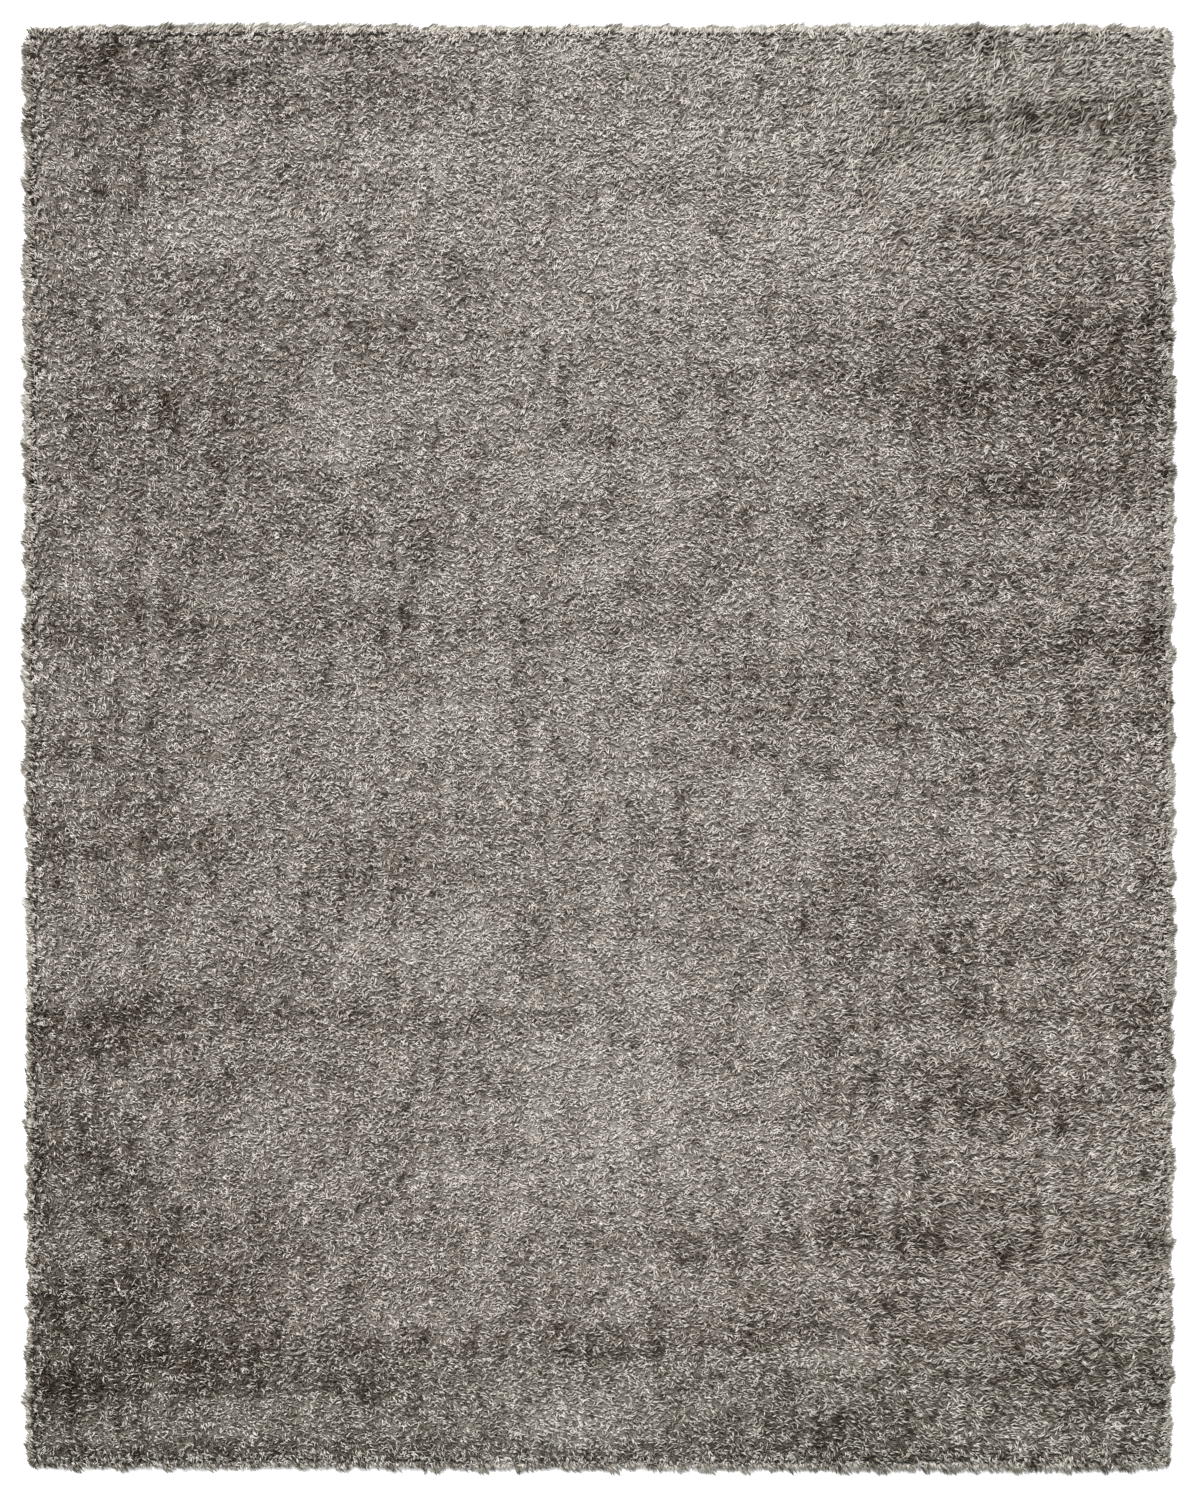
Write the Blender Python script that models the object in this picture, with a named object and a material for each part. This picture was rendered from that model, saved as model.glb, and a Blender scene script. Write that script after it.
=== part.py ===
"""Shag rug, lying flat with its long pile up.

The rug is one woven thing. Its pile yarns are held in a flat ground cloth and lean over so thickly
that they hide it from above. So it is one lumpy slab: the underside is the flat ground cloth, the top
is the uneven pile, and locks of pile lean out over the rim and droop towards the floor.

X runs across the rug and Y along it, as it is seen from above, and Z is up. The origin is on the
floor, in the middle of the rug.
"""

import math
import random

import bmesh
import bpy
from mathutils import Vector

# Driving sizes, in metres.
RUG_WIDTH = 2.430  # from pile edge to pile edge, on average
RUG_LENGTH = 3.060
PILE_HEIGHT = 0.032  # from the floor to the top of the pile, on average
CORNER_RADIUS = 0.020

# The top of the pile, as a net of tufts, no two of which stand alike.
TUFTS_ACROSS = 50
TUFTS_ALONG = 63
TUFT_LUMP = 0.0062  # most that one tuft stands above or below the pile's average
TUFT_DRIFT = 0.012  # most that one tuft has strayed sideways

# Where the pile has been brushed flat it is lower, and where it stands on end it is higher.
# Columns: middle x, middle y, half width, half length, rise.
NAP_PATCHES = (
    (0.09, 1.31, 0.24, 0.19, -0.0026),
    (0.11, 1.11, 0.19, 0.05, -0.0020),
    (-0.84, 1.15, 0.10, 0.10, -0.0022),
    (-0.37, 1.18, 0.13, 0.05, -0.0018),
    (0.51, 1.09, 0.08, 0.05, -0.0024),
    (0.70, 1.26, 0.17, 0.04, -0.0016),
    (-0.58, 0.65, 0.06, 0.08, -0.0030),
    (-0.08, 0.67, 0.17, 0.19, -0.0016),
    (0.36, 0.25, 0.15, 0.09, -0.0018),
    (0.34, 0.03, 0.13, 0.06, -0.0018),
    (0.98, 0.40, 0.13, 0.04, -0.0016),
    (1.01, -0.24, 0.13, 0.09, -0.0018),
    (-0.26, -0.44, 0.04, 0.11, -0.0026),
    (0.11, -0.52, 0.05, 0.04, -0.0026),
    (0.00, -0.81, 0.36, 0.13, -0.0022),
    (0.05, -1.04, 0.28, 0.13, -0.0020),
    (-0.99, 1.37, 0.19, 0.13, 0.0024),
    (-1.07, 0.74, 0.19, 0.08, 0.0022),
    (0.96, 0.81, 0.25, 0.10, 0.0026),
    (0.93, 0.50, 0.19, 0.04, 0.0018),
    (0.93, 0.22, 0.25, 0.05, 0.0020),
    (-0.99, -0.20, 0.11, 0.09, 0.0018),
    (-0.95, -0.64, 0.30, 0.08, 0.0020),
    (-1.03, -1.25, 0.21, 0.19, 0.0028),
    (0.71, -0.39, 0.13, 0.15, 0.0016),
    (0.76, -1.02, 0.19, 0.15, 0.0018),
    (0.02, -1.27, 0.21, 0.04, 0.0020),
    (0.64, -1.46, 0.42, 0.05, 0.0018),
)

# How far each side bows out of a true rectangle, at even steps along it.
# The left and right sides run from the near end to the far end, the other two from left to right.
SIDE_BOWS = {
    "left": (-0.004, -0.007, -0.005, -0.002, 0.002, 0.003, 0.002, 0.004),
    "right": (-0.003, -0.002, 0.001, 0.003, 0.001, 0.004, -0.001, 0.002),
    "near": (-0.003, -0.005, -0.004, -0.001, 0.001, 0.003, 0.004, 0.002),
    "far": (-0.003, 0.004, 0.005, -0.002, 0.000, 0.002, 0.002, -0.002),
}

# The rim of the slab, from the top of the pile down to the edge of the ground cloth.
# Columns: inset from the pile's average edge, height.
RIM_RINGS = (
    (0.022, 0.0285),
    (0.009, 0.0225),
    (0.007, 0.0095),
    (0.018, 0.0),
)
RIM_WAVE = 0.003  # most that a point of the rim wanders in or out
LOCK_BAND = 2  # the locks grow from the band that ends in this ring

# The locks at the rim, long thin ones and short broad ones by turns.
# Columns: least reach, most reach, least height of the tip, most height of the tip, and the bends,
# each as its share of the reach, then the lock's width and its thickness there as shares of the root's.
LOCK_KINDS = (
    (0.013, 0.020, 0.0025, 0.0065, ((0.36, 0.70, 0.80), (0.80, 0.34, 0.46))),
    (0.008, 0.015, 0.0075, 0.0125, ((0.60, 0.62, 0.60),)),
)
LOCK_SWAY = 0.013  # most that a tip leans along the rim
LOCK_DROOP = 1.7  # above 1, a lock leads outwards first and then bends down

PILE_GREY = (0.258, 0.231, 0.205, 1.0)  # linear
PILE_ROUGHNESS = 0.95
CREASE_ANGLE = math.radians(50)
LUMP_SEED = 11
LOCK_SEED = 23


def clear_scene():
    for old in list(bpy.data.objects):
        bpy.data.objects.remove(old, do_unlink=True)


def rug_collection():
    collection = bpy.data.collections.new("shag_rug")
    bpy.context.scene.collection.children.link(collection)
    return collection


def pile_material():
    material = bpy.data.materials.new("grey_shag_pile")
    material.use_nodes = True
    shader = material.node_tree.nodes["Principled BSDF"]
    shader.inputs["Base Color"].default_value = PILE_GREY
    shader.inputs["Roughness"].default_value = PILE_ROUGHNESS
    shader.inputs["Metallic"].default_value = 0.0
    return material


def bow_at(side, share):
    """How far a side bows out at this share of its length, read smoothly from its steps."""
    steps = SIDE_BOWS[side]
    place = min(max(share, 0.0), 1.0) * (len(steps) - 1)
    first = min(int(place), len(steps) - 2)
    blend = (1 - math.cos(math.pi * (place - first))) / 2
    return steps[first] * (1 - blend) + steps[first + 1] * blend


def bowed(x, y):
    """Moves a point of the true rectangle as the rug's sides bow."""
    share_x = x / RUG_WIDTH + 0.5
    share_y = y / RUG_LENGTH + 0.5
    across = bow_at("right" if x > 0 else "left", share_y)
    along = bow_at("far" if y > 0 else "near", share_x)
    return x * (1 + 2 * across / RUG_WIDTH), y * (1 + 2 * along / RUG_LENGTH)


def corner_rounded(x, y, inset):
    """Draws a point in a corner of the rectangle inwards, so that the corner is round."""
    radius = CORNER_RADIUS
    past_x = abs(x) - (RUG_WIDTH / 2 - inset - radius)
    past_y = abs(y) - (RUG_LENGTH / 2 - inset - radius)
    if past_x <= 0 or past_y <= 0:
        return x, y
    pull = 1 - max(past_x, past_y) / math.hypot(past_x, past_y)
    return x - math.copysign(past_x * pull, x), y - math.copysign(past_y * pull, y)


def outwards(point):
    """The level direction that leads straight out of the rug from a point of its rim."""
    core_x = RUG_WIDTH / 2 - 2 * CORNER_RADIUS
    core_y = RUG_LENGTH / 2 - 2 * CORNER_RADIUS
    nearest = Vector((min(max(point.x, -core_x), core_x), min(max(point.y, -core_y), core_y)))
    way = Vector((point.x, point.y)) - nearest
    return Vector((way.x, way.y, 0.0)).normalized()


def nap_rise(x, y):
    """How much the brushed patches lift or lower the pile here."""
    rise = 0.0
    for middle_x, middle_y, half_width, half_length, most in NAP_PATCHES:
        away = ((x - middle_x) / half_width) ** 2 + ((y - middle_y) / half_length) ** 2
        rise += most * math.exp(-away)
    return rise


def add_top(bm, rng):
    """The net of tufts on top of the pile, down to the first ring of the rim."""
    inset, rim_height = RIM_RINGS[0]
    bmesh.ops.create_grid(bm, x_segments=TUFTS_ACROSS, y_segments=TUFTS_ALONG, size=1.0)
    half_width = RUG_WIDTH / 2 - inset
    half_length = RUG_LENGTH / 2 - inset
    for vert in bm.verts:
        x, y = vert.co.x * half_width, vert.co.y * half_length
        if vert.is_boundary:
            x, y = corner_rounded(x, y, inset)
            height = rim_height
            lump = TUFT_LUMP / 2
        else:
            x += rng.uniform(-TUFT_DRIFT, TUFT_DRIFT)
            y += rng.uniform(-TUFT_DRIFT, TUFT_DRIFT)
            height = PILE_HEIGHT + nap_rise(x, y)
            lump = TUFT_LUMP
        x, y = bowed(x, y)
        vert.co = (x, y, height + rng.uniform(-lump, lump))


def add_rim(bm, rng):
    """Turns the rim down in rings to the ground cloth, and returns the faces of each band."""
    bands = []
    edges = [edge for edge in bm.edges if edge.is_boundary]
    for (inset, _), (next_inset, next_height) in zip(RIM_RINGS, RIM_RINGS[1:]):
        made = bmesh.ops.extrude_edge_only(bm, edges=edges)["geom"]
        edges = [part for part in made if isinstance(part, bmesh.types.BMEdge) and part.is_boundary]
        bands.append([part for part in made if isinstance(part, bmesh.types.BMFace)])
        for vert in (part for part in made if isinstance(part, bmesh.types.BMVert)):
            step = inset - next_inset + rng.uniform(-RIM_WAVE, RIM_WAVE)
            vert.co += outwards(vert.co) * step
            vert.co.z = next_height
    bmesh.ops.contextual_create(bm, geom=edges)
    bmesh.ops.recalc_face_normals(bm, faces=bm.faces)
    return bands


def add_lock(bm, face, kind, rng):
    """Draws one lock of pile out of a face of the rim, bend by bend, and closes it in a tip."""
    least, most, lowest, highest, bends = kind
    root = face.calc_center_median()
    away = outwards(root)
    sway = Vector((-away.y, away.x, 0.0)) * rng.uniform(-LOCK_SWAY, LOCK_SWAY)
    tip = root + away * rng.uniform(least, most) + sway
    tip.z = rng.uniform(lowest, highest)
    corners = [vert.co - root for vert in face.verts]
    for share, width, thickness in bends:
        centre = root.lerp(tip, share)
        centre.z = root.z + (tip.z - root.z) * share**LOCK_DROOP
        face = bmesh.ops.extrude_discrete_faces(bm, faces=[face])["faces"][0]
        for vert, corner in zip(face.verts, corners):
            vert.co = centre + corner * Vector((width, width, thickness))
    bmesh.ops.poke(bm, faces=[face])["verts"][0].co = tip


def centred(mesh):
    """Moves the mesh so that the middle of its outline is over the origin."""
    for axis in (0, 1):
        values = [vert.co[axis] for vert in mesh.vertices]
        middle = (min(values) + max(values)) / 2
        for vert in mesh.vertices:
            vert.co[axis] -= middle


def add_rug(collection):
    bm = bmesh.new()
    lumps = random.Random(LUMP_SEED)
    locks = random.Random(LOCK_SEED)
    add_top(bm, lumps)
    bands = add_rim(bm, lumps)
    band = sorted(bands[LOCK_BAND - 1], key=lambda face: math.atan2(*face.calc_center_median().yx))
    for number, face in enumerate(band):
        add_lock(bm, face, LOCK_KINDS[number % len(LOCK_KINDS)], locks)
    mesh = bpy.data.meshes.new("shag_rug")
    bm.to_mesh(mesh)
    bm.free()
    centred(mesh)
    mesh.shade_smooth()
    mesh.set_sharp_from_angle(angle=CREASE_ANGLE)
    mesh.materials.append(pile_material())
    rug = bpy.data.objects.new("shag_rug", mesh)
    collection.objects.link(rug)
    return rug


def main():
    clear_scene()
    add_rug(rug_collection())


main()
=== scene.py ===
import math

import bpy
import numpy as np
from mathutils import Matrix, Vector


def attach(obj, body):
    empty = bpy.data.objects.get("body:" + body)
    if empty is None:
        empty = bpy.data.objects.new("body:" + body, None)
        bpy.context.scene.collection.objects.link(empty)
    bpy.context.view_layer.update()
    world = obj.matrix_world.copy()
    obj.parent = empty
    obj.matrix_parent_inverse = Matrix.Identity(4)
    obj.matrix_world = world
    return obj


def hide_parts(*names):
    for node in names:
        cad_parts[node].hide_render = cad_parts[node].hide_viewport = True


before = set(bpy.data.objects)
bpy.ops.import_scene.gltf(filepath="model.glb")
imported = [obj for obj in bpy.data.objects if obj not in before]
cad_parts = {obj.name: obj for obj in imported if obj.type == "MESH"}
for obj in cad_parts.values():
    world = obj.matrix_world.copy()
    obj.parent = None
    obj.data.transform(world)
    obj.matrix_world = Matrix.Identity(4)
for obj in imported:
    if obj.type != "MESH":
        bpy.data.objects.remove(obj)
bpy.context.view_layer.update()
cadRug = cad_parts["shag_rug"]

# The rug lies with its width along X and its length along Y, and is seen from straight above.
rug = {
    "width": 2.430,         # between the average pile edges
    "length": 3.060,
    "cornerRadius": 0.017,
}

# how the pile has been brushed: which way it leans, and where it lies flat or stands up
nap = {
    "lean": 5.0,            # degrees, from +X towards +Y
    "swirls": (
        # x, y, half width, half length, turn in degrees
        (0.75, 1.32, 0.50, 0.26, 36.0),
        (0.15, 1.40, 0.30, 0.14, 14.0),
        (1.10, 0.60, 0.16, 0.60, 10.0),
        (1.12, -0.55, 0.18, 0.70, 13.0),
        (-1.08, 1.17, 0.20, 0.20, -55.0),
        (-0.74, 1.38, 0.15, 0.12, -30.0),
        (-1.08, 0.20, 0.18, 0.55, -42.0),
        (-0.44, 0.69, 0.15, 0.12, -22.0),
        (-0.74, -0.26, 0.15, 0.12, -14.0),
        (-0.30, 1.17, 0.35, 0.12, 14.0),
        (0.05, 0.92, 0.30, 0.12, 10.0),
        (-0.50, -0.95, 0.35, 0.34, 11.0),
        (0.16, -0.70, 0.20, 0.12, 8.0),
        (0.60, -1.42, 0.35, 0.12, -11.0),
        (-0.44, -1.42, 0.15, 0.10, -13.0),
    ),
    "combed": (
        # x, y, half width, half length, how long and parallel the yarns lie,
        # or below 0 how loose and tufty
        (0.95, -1.10, 0.45, 0.40, 0.8),
        (0.90, 1.28, 0.55, 0.30, 1.0),
        (1.05, 0.20, 0.25, 0.80, 0.4),
        (-0.90, 1.05, 0.45, 0.50, -0.45),
        (-0.35, 0.95, 0.40, 0.35, -0.35),
        (-1.00, 0.00, 0.25, 0.60, -0.35),
    ),
    "overSides": (
        # a side's outward way in degrees, how far its tufts lean to the left of that,
        # how much shorter they reach, how much further in and out than the solid's locks, how ragged
        (0, 18.0, -0.0025, 1.25, 0.9),
        (90, -46.0, -0.0005, 0.85, 0.65),
        (180, -28.0, 0.0000, 1.15, 0.7),
        (270, 30.0, 0.0016, 1.30, 1.5),
        (360, 18.0, -0.0025, 1.25, 0.9),
    ),
    "rowPitch": 0.0275,     # woven rows, which each lie in their own way
    "rowShare": 0.65,       # how far a yarn lies as its whole row does
    "leanDrift": (9.0, 0.12, 5),    # degrees, size, seed
    "patches": (
        # x, y, half width, half length, how flat it lies, which also paints it paler as painted sheen
        (0.00, 0.20, 0.75, 2.40, 0.9),
        (-1.03, 1.38, 0.22, 0.170, -0.35),
        (0.06, 1.40, 0.40, 0.108, 0.6),
        (0.16, 1.29, 0.09, 0.046, 0.6),
        (-0.82, 1.13, 0.14, 0.100, 1.2),
        (-0.34, 1.18, 0.15, 0.046, 0.7),
        (0.06, 1.09, 0.15, 0.056, 0.8),
        (0.50, 1.07, 0.14, 0.056, 1.3),
        (0.90, 1.34, 0.34, 0.043, -1.0),
        (0.90, 1.20, 0.31, 0.062, 0.5),
        (0.96, 1.00, 0.25, 0.031, -0.5),
        (1.02, 0.81, 0.26, 0.124, -1.3),
        (0.59, 0.81, 0.19, 0.111, -0.6),
        (-0.57, 0.66, 0.07, 0.070, 2.3),
        (-1.05, 0.76, 0.23, 0.080, -0.9),
        (-0.03, 0.81, 0.19, 0.124, 0.4),
        (0.16, 0.61, 0.40, 0.025, 0.7),
        (-0.80, 0.50, 0.14, 0.025, 0.6),
        (-1.08, 0.61, 0.15, 0.062, -0.4),
        (0.90, 0.53, 0.22, 0.062, -0.6),
        (0.84, 0.42, 0.25, 0.025, 0.7),
        (0.90, 0.33, 0.19, 0.022, 0.6),
        (0.97, 0.22, 0.28, 0.046, -1.1),
        (-0.18, 0.25, 1.02, 0.028, -0.5),
        (0.31, 0.31, 0.12, 0.031, 0.5),
        (-1.08, 0.31, 0.15, 0.037, -0.2),
        (-0.03, 0.07, 0.28, 0.130, 0.5),
        (-0.80, -0.12, 0.06, 0.037, 0.8),
        (-0.94, -0.12, 0.06, 0.043, -0.6),
        (1.02, -0.27, 0.19, 0.080, 0.7),
        (0.74, -0.46, 0.22, 0.130, -0.7),
        (-0.26, -0.41, 0.04, 0.130, 1.2),
        (0.11, -0.53, 0.05, 0.049, 1.7),
        (0.33, -0.44, 0.03, 0.062, 0.8),
        (-0.96, -0.60, 0.31, 0.050, -0.6),
        (-0.56, -0.62, 0.19, 0.037, -0.2),
        (-0.15, -0.65, 0.34, 0.022, 0.6),
        (-0.03, -0.80, 0.46, 0.192, 0.7),
        (-0.74, -0.80, 0.08, 0.093, 0.3),
        (-1.10, -0.77, 0.15, 0.186, -0.8),
        (0.74, -0.71, 0.22, 0.062, -0.5),
        (0.81, -1.02, 0.28, 0.099, -0.7),
        (-0.99, -1.14, 0.29, 0.160, -0.9),
        (-0.74, -1.32, 0.46, 0.062, -1.1),
        (0.22, -1.25, 0.46, 0.040, -0.9),
        (0.50, -1.30, 0.17, 0.025, 0.9),
        (-1.08, -1.40, 0.28, 0.124, -0.7),
        (0.43, -1.45, 0.34, 0.046, -0.9),
        (-0.10, 1.36, 0.50, 0.015, -0.5),
        (0.28, 0.54, 0.05, 0.050, 0.8),
        (0.47, 0.25, 0.06, 0.040, 0.5),
        (0.62, 0.08, 0.10, 0.025, 0.6),
        (0.93, 0.08, 0.14, 0.025, 0.5),
        (1.00, -0.10, 0.10, 0.030, 0.6),
        (0.67, -0.17, 0.06, 0.040, -1.0),
        (0.42, -0.05, 0.22, 0.020, -0.6),
        (0.00, -1.30, 0.12, 0.030, -0.8),
        (0.76, -1.15, 0.15, 0.040, -0.7),
        (-0.58, 0.46, 0.10, 0.040, 0.4),
        (-1.10, -0.17, 0.08, 0.030, 0.5),
        (-1.01, -0.82, 0.05, 0.030, -0.8),
        # these strips paint the bottom rim darker and the top rim paler, painted shade and light from the
        # sun above the top
        (0.00, -1.500, 3.00, 0.030, -1.1),
        (0.00, 1.514, 1.30, 0.012, 1.2),
        (1.160, 0.00, 0.025, 3.00, -0.3),
        (0.05, 1.33, 0.65, 0.140, 0.45),
        (-0.35, 1.05, 0.40, 0.120, 0.4),
        (0.00, -1.10, 3.00, 0.520, -0.4),
        (-0.10, -1.32, 0.25, 0.100, -0.5),
        (1.05, -1.33, 0.30, 0.120, -0.6),
    ),
    "greener": (
        # x, y, half width, half length, share of the yarns
        (0.00, -1.50, 3.00, 0.22, 0.50),
        (-1.15, -1.20, 0.25, 0.45, 0.35),
        (1.20, -1.15, 0.20, 0.40, 0.30),
        (0.75, 1.42, 0.80, 0.24, 0.35),
    ),
    "streaks": (
        # size along X, size along Y, how much, seed
        (0.42, 0.070, 0.62, 3),     # bands of rows
        (0.16, 0.028, 0.60, 4),     # single rows
        (0.023, 0.090, 0.95, 6),    # folds across the rows
    ),
    # ribs across the rows, as in rolled cloth: they wander sideways, and come and go
    "ribs": {
        "pitch": 0.047,
        "most": 0.80,
        "wander": 2.6,
        "wanderSize": 0.11,
        "wanderSeed": 6,
        "fadeSize": (0.16, 0.10),
        "fadeSeed": 7,
    },
    "level": -0.40,
    "sheenAndShadeShare": 0.140,     # how much paler the yarn is painted where it lies flat, a painted sheen, and darker where it stands up, a painted shade
}


def drift(x, y, sizeX, sizeY, seed):
    # smooth chance variation between -1 and 1, with features of this size
    cells = 256
    lattice = np.random.default_rng(seed).uniform(-1, 1, (cells, cells))
    column, row = np.floor(x / sizeX).astype(int), np.floor(y / sizeY).astype(int)
    shareX, shareY = x / sizeX - column, y / sizeY - row
    shareX = shareX * shareX * (3 - 2 * shareX)
    shareY = shareY * shareY * (3 - 2 * shareY)
    near = lattice[column % cells, row % cells] * (1 - shareX)
    near += lattice[(column + 1) % cells, row % cells] * shareX
    far = lattice[column % cells, (row + 1) % cells] * (1 - shareX)
    far += lattice[(column + 1) % cells, (row + 1) % cells] * shareX
    return near * (1 - shareY) + far * shareY


def spots(x, y, table, edge=2):
    # adds up soft spots, each fading out past its half width and half length
    total = np.zeros(len(x))
    for middleX, middleY, halfWidth, halfLength, most in table:
        away = ((x - middleX) / halfWidth) ** 2 + np.abs((y - middleY) / halfLength) ** edge
        total += most * np.exp(-away)
    return total


def flatness(x, y):
    # -1 stands up, 1 lies flat; the tone paints it darker where it stands, a painted shade, and paler
    # where it lies flat, a painted sheen
    row = (np.floor(y / nap["rowPitch"]) + 0.5) * nap["rowPitch"]
    y = (1 - nap["rowShare"]) * y + nap["rowShare"] * row
    total = nap["level"] + spots(x, y, nap["patches"], 4)
    for sizeX, sizeY, most, seed in nap["streaks"]:
        total += most * drift(x, y, sizeX, sizeY, seed)
    ribs = nap["ribs"]
    wander = ribs["wander"] * drift(x, y, ribs["wanderSize"], ribs["wanderSize"], ribs["wanderSeed"])
    turn = 2 * math.pi * x / ribs["pitch"] + wander
    fade = 0.5 + 0.5 * drift(x, y, *ribs["fadeSize"], ribs["fadeSeed"])
    return total + ribs["most"] * np.cos(turn) * fade


def leanOver(outwards):
    # what the table of sides says of tufts that lean over the rim this way
    ways, *columns = zip(*nap["overSides"])
    return [np.interp(outwards % 360, ways, column) for column in columns]


# camera, straight above the middle of the rug
view = {
    "lens": 85.0,
    "sensor": 36.0,
    "metresPerPixel": 0.002116,
    "imageSize": (1200, 1497),
    "rugMiddle": (598.7, 748.0),    # pixel where the middle of the rug is seen
    "pileHeight": 0.028,
    "clipEnd": 100.0,
}


def addCamera():
    bpy.ops.object.camera_add()
    camera = bpy.context.object
    camera.name = "above_camera"
    camera.data.lens = view["lens"]
    camera.data.sensor_width = view["sensor"]
    frameHeight = view["imageSize"][1] * view["metresPerPixel"]
    distance = frameHeight * view["lens"] / view["sensor"]
    x = (view["imageSize"][0] / 2 - view["rugMiddle"][0]) * view["metresPerPixel"]
    y = (view["rugMiddle"][1] - view["imageSize"][1] / 2) * view["metresPerPixel"]
    camera.location = (x, y, view["pileHeight"] + distance)
    camera.rotation_euler = (0, 0, 0)
    camera.data.clip_end = view["clipEnd"]
    bpy.context.scene.camera = camera


def newMaterial(name):
    material = bpy.data.materials.new(name)
    material.use_nodes = True
    return material, material.node_tree, material.node_tree.nodes["Principled BSDF"]


# plain pale floor, an even dome of light and one soft sun
studio = {
    "floorSize": 60.0,
    "floorColour": (0.90, 0.90, 0.90, 1.0),
    "floorRoughness": 0.9,
    "floorSpecular": 0.1,
    "domeStrength": 0.90,
    "sunStrength": 3.5,
    "sunSoftness": 14.0,       # degrees across
    "sunHeight": 56.0,         # degrees above the floor
    "sunFrom": 104.0,          # degrees from +X, so from the top and slightly left
}


def addStudio():
    bpy.ops.mesh.primitive_plane_add(size=studio["floorSize"])
    floor = bpy.context.object
    floor.name = "floor"
    material, _, shader = newMaterial("paleFloor")
    shader.inputs["Base Color"].default_value = studio["floorColour"]
    shader.inputs["Roughness"].default_value = studio["floorRoughness"]
    shader.inputs["Specular IOR Level"].default_value = studio["floorSpecular"]
    floor.data.materials.append(material)
    world = bpy.context.scene.world or bpy.data.worlds.new("studio")
    bpy.context.scene.world = world
    world.use_nodes = True
    background = world.node_tree.nodes["Background"]
    background.inputs["Color"].default_value = (1.0, 1.0, 1.0, 1.0)
    background.inputs["Strength"].default_value = studio["domeStrength"]
    turn = math.radians(studio["sunFrom"] + 90)
    bpy.ops.object.light_add(type="SUN", rotation=(math.radians(90 - studio["sunHeight"]), 0, turn))
    sun = bpy.context.object
    sun.name = "key_light"
    sun.data.energy = studio["sunStrength"]
    sun.data.angle = math.radians(studio["sunSoftness"])
    bpy.context.scene.view_settings.view_transform = "Standard"


def addNode(tree, kind, inputs=None, **settings):
    # adds a node, sets its properties, and links or fills its inputs
    node = tree.nodes.new(kind)
    for name, value in settings.items():
        setattr(node, name, value)
    for name, value in (inputs or {}).items():
        if isinstance(value, bpy.types.NodeSocket):
            tree.links.new(value, node.inputs[name])
        else:
            node.inputs[name].default_value = value
    return node


def addMaths(tree, operation, *values):
    return addNode(tree, "ShaderNodeMath", dict(enumerate(values)), operation=operation).outputs[0]


def addRange(tree, value, before=(0.0, 1.0), after=(0.0, 1.0), **settings):
    # carries a value over from one range to another
    ends = {"From Min": before[0], "From Max": before[1], "To Min": after[0], "To Max": after[1]}
    return addNode(tree, "ShaderNodeMapRange", {"Value": value, **ends}, **settings).outputs["Result"]


def addBump(tree, shader, height, strength, depth):
    bump = addNode(tree, "ShaderNodeBump", {"Height": height, "Strength": strength, "Distance": depth})
    tree.links.new(bump.outputs["Normal"], shader.inputs["Normal"])


def addGroup(name, inputs, outputs):
    # an empty node group with these sockets, and its two end nodes
    group = bpy.data.node_groups.new(name, "ShaderNodeTree")
    for socket, kind, value in inputs:
        made = group.interface.new_socket(name=socket, in_out="INPUT", socket_type=kind)
        if value is not None:
            made.default_value = value
    for socket, kind in outputs:
        group.interface.new_socket(name=socket, in_out="OUTPUT", socket_type=kind)
    return group, group.nodes.new("NodeGroupInput"), group.nodes.new("NodeGroupOutput")


def useGroup(tree, group, inputs):
    # each group gives one value or colour
    return addNode(tree, "ShaderNodeGroup", inputs, node_tree=group).outputs[0]


# colours of the spun yarn: every yarn has its own shade of a warm grey, and its own share of a greener one
dye = {
    "gamma": 2.2,
    "warm": (
        # green out of 255, how much more red and how much less blue
        (46, 14.0, 14.0),
        (132, 11.6, 11.4),
        (180, 10.0, 9.4),
        (206, 8.4, 8.0),
        (222, 7.6, 7.4),
    ),
    "greener": (
        (46, 9.0, 15.0),
        (132, 5.2, 12.6),
        (180, 3.8, 10.8),
        (206, 3.0, 9.4),
        (222, 2.6, 8.8),
    ),
}


def warmGrey(green, redder, yellower):
    # the linear colour of a warm grey as bright as this on a screen
    channels = (green + redder, green, green - yellower)
    return (*(min(max(channel / 255, 0.0), 1.0) ** dye["gamma"] for channel in channels), 1.0)


def shadeRamp(group, tone, shades):
    dyed = addNode(group, "ShaderNodeValToRGB", {"Fac": tone})
    ramp = dyed.color_ramp
    while len(ramp.elements) < len(shades):
        ramp.elements.new(0.5)
    for number in range(len(shades)):
        ramp.elements[number].position = number / (len(shades) - 1)
    for number, shade in enumerate(shades):
        ramp.elements[number].color = warmGrey(*shade)
    return dyed.outputs["Color"]


def dyeAndShadeGroup():
    # turns a shade number into the yarn's colour, greener or not, and darkens it by Light, the painted
    # shade
    inputs = (
        ("Tone", "NodeSocketFloat", 0.5),
        ("Greener", "NodeSocketFloat", 0.2),
        ("Light", "NodeSocketFloat", 1.0),
    )
    group, start, end = addGroup("yarnDyeAndShade", inputs, (("Colour", "NodeSocketColor"),))
    warm = shadeRamp(group, start.outputs["Tone"], dye["warm"])
    greener = shadeRamp(group, start.outputs["Tone"], dye["greener"])
    mixed = addNode(group, "ShaderNodeMix", {"Factor": start.outputs["Greener"]}, data_type="RGBA")
    group.links.new(warm, mixed.inputs["A"])
    group.links.new(greener, mixed.inputs["B"])
    darkened = addNode(group, "ShaderNodeVectorMath", {"Scale": start.outputs["Light"]}, operation="SCALE")
    group.links.new(mixed.outputs["Result"], darkened.inputs[0])
    group.links.new(darkened.outputs["Vector"], end.inputs["Colour"])
    return group


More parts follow.
